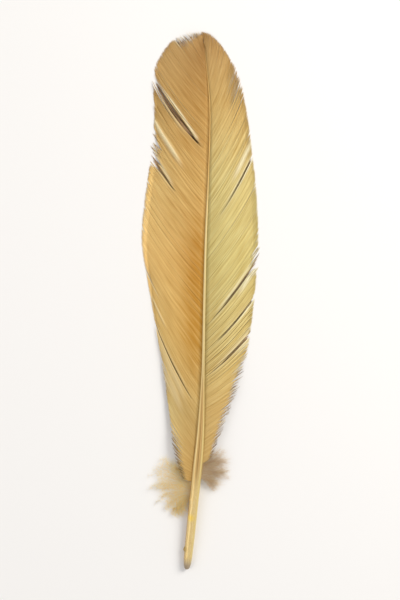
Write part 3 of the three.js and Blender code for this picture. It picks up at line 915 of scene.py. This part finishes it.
    # Grain's Z goes across a barb and its Y along it, in mm, so the fringes slant away from the rib
    _, from_foot, off_rib = add(tree, "ShaderNodeSeparateXYZ", grain).outputs
    off_rib = add(tree, "ShaderNodeMath", off_rib, operation="ABSOLUTE")
    combed = add(tree, "ShaderNodeMath", off_rib, 0.16, from_foot, operation="MULTIPLY_ADD")
    combed = add(tree, "ShaderNodeMath", combed, 2 * math.pi / FRINGE_APART, operation="MULTIPLY")
    combed = add(tree, "ShaderNodeMath", combed, operation="SINE")
    relief = add(tree, "ShaderNodeBump", 0.35, 0.01 * MM, named={"Height": combed})
    fill(tree, surface, {"Base Color": coat, "Metallic": metal, "Roughness": gloss, "Normal": relief})
    return material


# Lit and shaded copies of one gold: the right vane's paler, greener colours are painted light, the left's
# warmer ones painted shade
gold_left_shaded = painted_barbs(
    "Gold spray on left barbs, painted shade",
    ["#EAC468", "#EED486", "#FCD674", "#FED270", "#F4CC70", "#D6A63C", "#BA8624"], "#FFF1C6", 0.42, 0.26,
)
gold_right_lit = painted_barbs(
    "Gold spray on right barbs, painted light",
    ["#E6C266", "#EAC96C", "#EADA86", "#EAE08A", "#EADE8E", "#DAB856", "#C2942E"], "#FFF9DA", 0.03, -0.06,
)
print("finishes:", gold_left_shaded.name, "and", gold_right_lit.name)

# %% Grow the vanes
BARBS_PER_LOCK = 16
vane_sizes = {"Steps": 18, "Overlap": 1.35, "Wander": 0.5 * MM, "Ridge": 0.1 * MM}
left_barbs, right_barbs = (
    grow(name, sheet, vane_tree, gold, Barbs=locks * BARBS_PER_LOCK, Locks=locks, Seed=seed, **vane_sizes)
    for name, sheet, gold, locks, seed in [
        ("left_barbs", left_sheet, gold_left_shaded, LEFT_VANE["locks"], 11),
        ("right_barbs", right_sheet, gold_right_lit, RIGHT_VANE["locks"], 23),
    ]
)

# %% [markdown]
# ## The down
#
# Where the quill ends and the vanes begin, the barbs have no hooks. They are soft threads that curl, each
# with finer threads down both its sides, and together they make fluff that lets light through. A cloud of
# flat cards would be lighter to compute, but it reads as paper from the side. So the same tree lays out
# the stems, and a thread is set on every step of every stem, to the left and to the right. The last guide of
# each tuft isn't in the CAD model: it lets the fluff thin out into the vane.

# %% Guide sheets for the down
# Down leaves the shaft low on its side, bows the other way, and is loose all over
DOWN_SHAPE = {
    "room": 24, "crest": 0.0, "foot": -0.4, "fall": 1.2, "bow": -0.14, "locks": 1, "slits": {}, "lifts": {},
    "folds": [], "loose": [[0.5, 2.0, 0.1, 0.6]], "fray": 0.08, "painted_highlights": [],
}
left_down_sheet = guide_sheet("left_down_sheet", {**DOWN_SHAPE, "side": -1, "guides": [
    [-66.2, -6.0, -74.0, 0.6], [-65.3, -9.6, -73.0, 0.6], [-64.4, -13.6, -70.0, 0.5],
    [-63.6, -16.6, -65.6, 0.5], [-62.9, -17.4, -60.2, 0.6], [-62.2, -15.8, -54.6, 0.8],
    [-61.2, -12.4, -52.4, 0.9],
]})
right_down_sheet = guide_sheet("right_down_sheet", {**DOWN_SHAPE, "side": 1, "guides": [
    [-59.6, 4.4, -64.6, 0.6], [-58.4, 7.8, -61.6, 0.5], [-57.2, 9.6, -57.0, 0.7],
    [-56.2, 8.8, -52.4, 1.0], [-55.4, 7.6, -49.6, 1.0],
]})
print("points on the down's sheets:", len(left_down_sheet.vertices), len(right_down_sheet.vertices))

# %% Tree for down: stems
down_tree, given = new_tree("Tuft of down", [
    ("Sheet", "Geometry"), ("Stems", "Int"), ("Steps", "Int"), ("Stem Width", "Float"), ("Curl", "Float"),
    ("Thread Length", "Float"), ("Thread Width", "Float"), ("Seed", "Int"), ("Finish", "Material"),
], "Mesh")
stems = add(down_tree, "GeometryNodeGroup", node_tree=lines, named={
    "Sheet": given["Sheet"], "Barbs": given["Stems"], "Steps": given["Steps"], "Locks": 1, "Overlap": 1.0,
    "Widest": given["Stem Width"], "Wander": 5.0 * MM, "Curl": given["Curl"], "Wisp": 4.0, "Uneven": 0.85,
    "Seed": given["Seed"],
})
stem_bodies = add(down_tree, "GeometryNodeGroup", node_tree=bodies, named={
    "Points": stems, "Barbs": given["Stems"], "Steps": given["Steps"], "Sides": 4,
    "Ridge": given["Stem Width"], "Sharpness": 0.0,
})
stem = {
    name: add(down_tree, "GeometryNodeInputNamedAttribute", name, data_type=CARRIED[name])
    for name in ("heading", "up", "out")
}
print("read from the stems:", list(stem))

# %% Threads on both sides of the stems
# One thread is a thin cone that stands on its foot, with a note of how far out each of its points is
position = add(down_tree, "GeometryNodeInputPosition")
cone = add(down_tree, "GeometryNodeMeshCone", 3, 4, 1, 0.2, 1.0, 1.0, fill_type="TRIANGLE_FAN")
up_cone = add(down_tree, "ShaderNodeSeparateXYZ", position).outputs["Z"]
thread = add(down_tree, "GeometryNodeStoreNamedAttribute", cone, None, "thread_out", up_cone)
side = add(down_tree, "ShaderNodeVectorMath", stem["heading"], stem["up"], operation="CROSS_PRODUCT")
joined = add(down_tree, "GeometryNodeJoinGeometry")
for turn in (-1.0, 1.0):
    seed = add(down_tree, "ShaderNodeMath", given["Seed"], 40.0 + turn, operation="ADD")
    scatter = add(
        down_tree, "FunctionNodeRandomValue", (-0.5, -0.5, -0.25), (0.5, 0.5, 0.75), None, seed, **VECTOR,
    )
    outward = add(down_tree, "ShaderNodeVectorMath", side, 0.8 * turn, operation="SCALE")
    aim = add(down_tree, "ShaderNodeVectorMath", stem["heading"], outward, operation="ADD")
    aim = add(down_tree, "ShaderNodeVectorMath", aim, scatter, operation="ADD")
    turned = add(down_tree, "FunctionNodeAlignRotationToVector", None, None, aim, axis="Z")
    length = add(down_tree, "FunctionNodeRandomValue", 0.5, 1.15, None, seed)
    length = add(down_tree, "ShaderNodeMath", length, given["Thread Length"], operation="MULTIPLY")
    swell = add(down_tree, "ShaderNodeMapRange", stem["out"], 0.0, 0.3, 0.35, 1.0, **SMOOTH)
    shrink = add(down_tree, "ShaderNodeMapRange", stem["out"], 0.6, 1.0, 1.0, 0.4, **SMOOTH)
    by_place = add(down_tree, "ShaderNodeMath", swell, shrink, operation="MULTIPLY")
    length = add(down_tree, "ShaderNodeMath", length, by_place, operation="MULTIPLY")
    size = add(down_tree, "ShaderNodeCombineXYZ", given["Thread Width"], given["Thread Width"], length)
    threads = add(down_tree, "GeometryNodeInstanceOnPoints", stems, None, thread, None, None, turned, size)
    down_tree.links.new(threads.outputs[0], joined.inputs[0])
threads = add(down_tree, "GeometryNodeRealizeInstances", joined)
print("nodes for stems and threads:", len(down_tree.nodes))

# %% Bend the threads, and keep the down off the table
# Threads bend more the further they get from their stem, all one way, as if blown. What meets the table
# turns up again
bend = add(down_tree, "ShaderNodeTexNoise", position, 5.0, 0.0).outputs["Color"]
bend = add(down_tree, "ShaderNodeVectorMath", bend, (0.5, 0.5, 0.5), operation="SUBTRACT")
thread_out = add(down_tree, "GeometryNodeInputNamedAttribute", "thread_out")
how_bent = add(down_tree, "ShaderNodeMath", thread_out, 1.5, operation="POWER")
how_bent = add(down_tree, "ShaderNodeMath", how_bent, 5.0 * MM, operation="MULTIPLY")
bend = add(down_tree, "ShaderNodeVectorMath", bend, how_bent, operation="SCALE")
curled = add(down_tree, "GeometryNodeSetPosition", threads, None, None, bend)
fluff = add(down_tree, "GeometryNodeJoinGeometry")
down_tree.links.new(curled.outputs[0], fluff.inputs[0])
down_tree.links.new(stem_bodies.outputs[0], fluff.inputs[0])
x, y, z = add(down_tree, "ShaderNodeSeparateXYZ", position).outputs
z = add(down_tree, "ShaderNodeMath", z, operation="ABSOLUTE")
z = add(down_tree, "ShaderNodeMath", z, 0.02 * MM, operation="ADD")
final_place = add(down_tree, "ShaderNodeCombineXYZ", x, y, z)
lying = add(down_tree, "GeometryNodeSetPosition", fluff, None, final_place)
whole = add(down_tree, "GeometryNodeRealizeInstances", add(down_tree, "GeometryNodeSetShadeSmooth", lying))
add(down_tree, "NodeGroupOutput", add(down_tree, "GeometryNodeSetMaterial", whole, None, given["Finish"]))
print("nodes that grow down:", len(down_tree.nodes))

# %% [markdown]
# Down takes little paint. The left tuft is pale with a dusting of gold, and the right one, further under
# the vane, is browner, which is painted shade. The fibres are so thin that they glow rather than shine,
# which a little light let through and a soft sheen stand for. The dust is a noise whose strongest grains
# are 0.006 mm, too fine to tell apart, so it gives each tuft one soft mixture of its two colours.

# %% Material: gold dust on down
def dusted_down(name, painted, dusted, bare):
    material, tree, surface = new_finish(name, {
        "Metallic": 0.05, "Roughness": 0.6, "Sheen Weight": 0.4, "Sheen Roughness": 0.4,
        "Subsurface Weight": 0.3, "Subsurface Radius": (1.0, 0.8, 0.6), "Subsurface Scale": 0.02 * MM,
    })
    spot = add(tree, "ShaderNodeTexCoord").outputs["Object"]
    dust = add(tree, "ShaderNodeTexNoise", spot, 5.0, 15.0, 2.0)
    dust = add(tree, "ShaderNodeMapRange", dust, 0.38, 0.62, 0.0, 1.0, **SMOOTH)
    thread = add(tree, "ShaderNodeMix", dust, colour(bare), colour(dusted), **COLOURS)
    thread_out = add(tree, "ShaderNodeAttribute", attribute_name="thread_out").outputs["Fac"]
    off_stem = add(tree, "ShaderNodeMapRange", thread_out, 0.0, 0.35, 0.0, 1.0)
    mixed = add(tree, "ShaderNodeMix", off_stem, colour(painted), thread, **COLOURS)
    fill(tree, surface, {"Base Color": mixed})
    return material


down_pale = dusted_down("Gold dust on pale down", "#F8D684", "#FFDA60", "#FFE8A4")
down_brown_shaded = dusted_down("Gold dust on brown down, painted shade", "#D8B070", "#F6DEA4", "#B8947C")
down_sizes = {"Steps": 40, "Stem Width": 0.03 * MM, "Thread Length": 2.8 * MM, "Thread Width": 0.016 * MM}
left_down, right_down = (
    grow(name, sheet, down_tree, finish, Stems=stems_here, Curl=curl_here, Seed=seed, **down_sizes)
    for name, sheet, finish, stems_here, curl_here, seed in [
        ("left_down", left_down_sheet, down_pale, 48, 15.0 * MM, 5),
        ("right_down", right_down_sheet, down_brown_shaded, 27, 13.0 * MM, 8),
    ]
)

# %% [markdown]
# ## The paint on the quill
#
# Keratin under paint is smooth and hard, so the quill is the glossiest part: bright streaks run along
# it where it turns towards the light. A warm brown line along its left edge, olive over its right side and
# a dark crease are painted shade, and pale stripes along its sides and its pale crest are painted
# highlights. The spray stops short of the very end, which was held and stays greyish brown. The coat is
# laid on one layer over the last, each with its share of the surface and its colour.

# %% Material: gold spray paint on keratin
def painted_quill(name):
    material, tree, surface = new_finish(name, {"Coat Weight": 0.25, "Coat Roughness": 0.22})
    spot = add(tree, "ShaderNodeTexCoord").outputs["Object"]
    along_feather = add(tree, "ShaderNodeSeparateXYZ", spot).outputs["Y"]
    around = add(tree, "ShaderNodeAttribute", attribute_name="around").outputs["Fac"]
    hollow = add(tree, "ShaderNodeAttribute", attribute_name="hollow").outputs["Fac"]

    # Hair-fine streaks along the quill, the strongest 0.04 mm wide and 1.7 mm long, and a finer dust
    drawn_out = add(tree, "ShaderNodeMapping", spot, None, None, (2600.0, 60.0, 1500.0))
    streaks = add(tree, "ShaderNodeTexNoise", drawn_out, 5.0, 1.0, 2.0)
    dust = add(tree, "ShaderNodeTexNoise", spot, 5.0, 15.0, 3.0)
    half_dust = add(tree, "ShaderNodeMath", dust, 0.5, operation="MULTIPLY")
    shade = add(tree, "ShaderNodeMath", streaks, 0.5, half_dust, operation="MULTIPLY_ADD")
    coat = add(tree, "ShaderNodeValToRGB", shade)
    stops = coat.color_ramp.elements
    stops[0].position, stops[0].color = 0.32, colour("#C8A65C")
    stops[1].position, stops[1].color = 0.66, colour("#F6E6B2")
    stops.new(0.48).color = colour("#E4C27C")

    # Where things begin and end along the feather, in mm, and how strong they are on both sides
    at = {
        label: add(tree, "ShaderNodeMapRange", along_feather, start * MM, end * MM, before, after, **SMOOTH)
        for label, start, end, before, after in [
            ("crest", -52, -20, 0.0, 0.85), ("tip", 20, 48, 0.0, 0.9), ("tan on", -66, -54, 0.0, 0.8),
            ("tan off", -36, -18, 1.0, 0.0), ("crease on", -64, -52, 0.0, 0.75),
            ("crease off", -30, -18, 1.0, 0.0), ("bare end", -85.5, -89.2, 0.0, 0.85),
        ]
    }

    # Between the quill and the crest it is as tan as the vanes, but for a painted highlight along each side
    from_middle = add(tree, "ShaderNodeMath", around, operation="ABSOLUTE")
    side_highlight = add(tree, "ShaderNodeMapRange", from_middle, 0.42, 0.62, 0.0, 1.0, **SMOOTH)
    tan_with_highlights = add(tree, "ShaderNodeMix", side_highlight, colour("#C89E5A"), colour("#ECD494"), **COLOURS)
    tan = add(tree, "ShaderNodeMath", at["tan on"], at["tan off"], operation="MULTIPLY")
    # Painted shade: a warm brown line along the left edge, olive over the right side, and a dark crease
    left_edge_shade = add(tree, "ShaderNodeMapRange", around, -0.84, -0.97, 0.0, 0.75, **SMOOTH)
    right_side_shade = add(tree, "ShaderNodeMapRange", around, 0.35, 0.9, 0.0, 0.6, **SMOOTH)
    off_crease = add(tree, "ShaderNodeMath", around, 0.02, operation="ADD")
    off_crease = add(tree, "ShaderNodeMath", off_crease, operation="ABSOLUTE")
    crease = add(tree, "ShaderNodeMapRange", off_crease, 0.08, 0.2, 1.0, 0.0, **SMOOTH)
    crease_shade_along = add(tree, "ShaderNodeMath", at["crease on"], at["crease off"], operation="MULTIPLY")
    crease = add(tree, "ShaderNodeMath", crease, crease_shade_along, operation="MULTIPLY")

    # A yellow pool of paint on the quill's upper left, and an olive one where it dripped
    pool_at, drip_at = [Vector(place) * MM for place in [(-3.1, -72.6, 3.0), (-5.4, -83.2, 1.9)]]
    pool = add(tree, "ShaderNodeVectorMath", spot, pool_at, operation="DISTANCE")
    pool = add(tree, "ShaderNodeMath", dust, 2.4 * MM, pool, operation="MULTIPLY_ADD")
    pool = add(tree, "ShaderNodeMapRange", pool, 2.9 * MM, 1.5 * MM, 0.0, 0.7, **SMOOTH)
    drip = add(tree, "ShaderNodeVectorMath", spot, drip_at, operation="DISTANCE")
    drip = add(tree, "ShaderNodeMapRange", drip, 1.7 * MM, 0.5 * MM, 0.0, 0.8, **SMOOTH)
    bare = add(tree, "ShaderNodeMath", at["bare end"], hollow, operation="MAXIMUM")
    keratin = add(tree, "ShaderNodeMix", dust, colour("#6F5F50"), colour("#A89684"), **COLOURS)
    # Layered in turn: the crest pale as painted highlight, darker towards the tip, the tan band with its
    # painted highlights, painted shade on the left edge, right side and crease, the yellow pool, the olive
    # drip and the bare end
    for share, over in [
        (at["crest"], colour("#E4CE90")), (at["tip"], colour("#BE9248")), (tan, tan_with_highlights),
        (left_edge_shade, colour("#A4682A")), (right_side_shade, colour("#D2BC6C")), (crease, colour("#9A7236")),
        (pool, colour("#FFD84A")), (drip, colour("#A88C48")), (bare, keratin),
    ]:
        coat = add(tree, "ShaderNodeMix", share, coat, over, **COLOURS)
    metal = add(tree, "ShaderNodeMapRange", bare, 0.0, 0.8, 0.45, 0.0)
    gloss = add(tree, "ShaderNodeMapRange", streaks, 0.3, 0.7, 0.28, 0.42)
    relief = add(tree, "ShaderNodeBump", 0.25, 0.03 * MM, named={"Height": streaks})
    fill(tree, surface, {"Base Color": coat, "Metallic": metal, "Roughness": gloss, "Normal": relief})
    return material


feather_shaft.data.materials.append(painted_quill("Gold spray on quill keratin"))
print("finish on the shaft:", feather_shaft.data.materials[0].name)

# %% [markdown]
# ## Hand the pieces to the frame
#
# Each new piece rides on the one body that a part with no joints has, and stands for its CAD node,
# which is hidden.

# %% Ride and replace
for piece, node, slot in [
    (feather_shaft, "quill_shaft", "painted_quill"), (left_barbs, "left_vane", "painted_vane"),
    (right_barbs, "right_vane", "painted_vane"), (left_down, "left_down_tuft", "down"),
    (right_down, "right_down_tuft", "down"),
]:
    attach(piece, "root")
    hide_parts(node)
    print(piece.name, "stands for", node)

# %% [markdown]
# ## Table, light and camera
#
# A plain off-white table, and one large soft lamp high on the right, which lights the sheen of the right
# vane, whose paleness is also painted light in its gold. A weaker warm one on the left keeps the other
# vane from going dull.

# %% Table
floor_mesh = bpy.data.meshes.new("table_top")
floor_mesh.from_pydata([(-2, -2, 0), (2, -2, 0), (2, 2, 0), (-2, 2, 0)], [], [(0, 1, 2, 3)])
table_top = put_in_scene("table_top", floor_mesh)
matt_white, _, _ = new_finish("Matt off-white laminate", {"Base Color": colour("#F3F1EE"), "Roughness": 0.8})
floor_mesh.materials.append(matt_white)
table_top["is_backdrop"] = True


# %% Lamps
def soft_lamp(name, place, size, power, tint):
    """A round soft lamp that shines on the middle of the feather."""
    data = bpy.data.lights.new(name, "AREA")
    data.shape, data.size, data.energy, data.color = "DISK", size, power, colour(tint)[:3]
    lamp = put_in_scene(name, data)
    lamp.location = place
    lamp.rotation_euler = (-Vector(place)).to_track_quat("-Z", "Y").to_euler()


soft_lamp("right_softbox", (0.5, 0.3, 0.45), 0.4, 4.0, "#FFFCF7")
soft_lamp("left_fill", (-0.5, -0.1, 0.5), 0.5, 0.9, "#FFF8F0")
world = bpy.data.worlds.new("Pale room")
world.use_nodes = True
fill(world.node_tree, world.node_tree.nodes["Background"], {"Color": colour("#F6F7FA"), "Strength": 0.62})
bpy.context.scene.world = world
bpy.context.scene.view_settings.view_transform = "Standard"

# %% Camera
camera_data = bpy.data.cameras.new("camera")
camera_data.lens = 85
camera_data.sensor_width = 36
camera_data.clip_start = 0.01
camera = put_in_scene("camera", camera_data)
camera.location = (0.0, 0.0, 0.475)
bpy.context.scene.camera = camera
print("camera height in m:", round(camera.location.z, 3))

# %% [markdown]
# ## Sizes, and the end
#
# The looks must not outgrow the CAD model, so the box that they take up is printed.

# %% Print the size of the looks
low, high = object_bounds()
print("box with looks in mm:", [round((b - a) / MM, 2) for a, b in zip(low, high)])
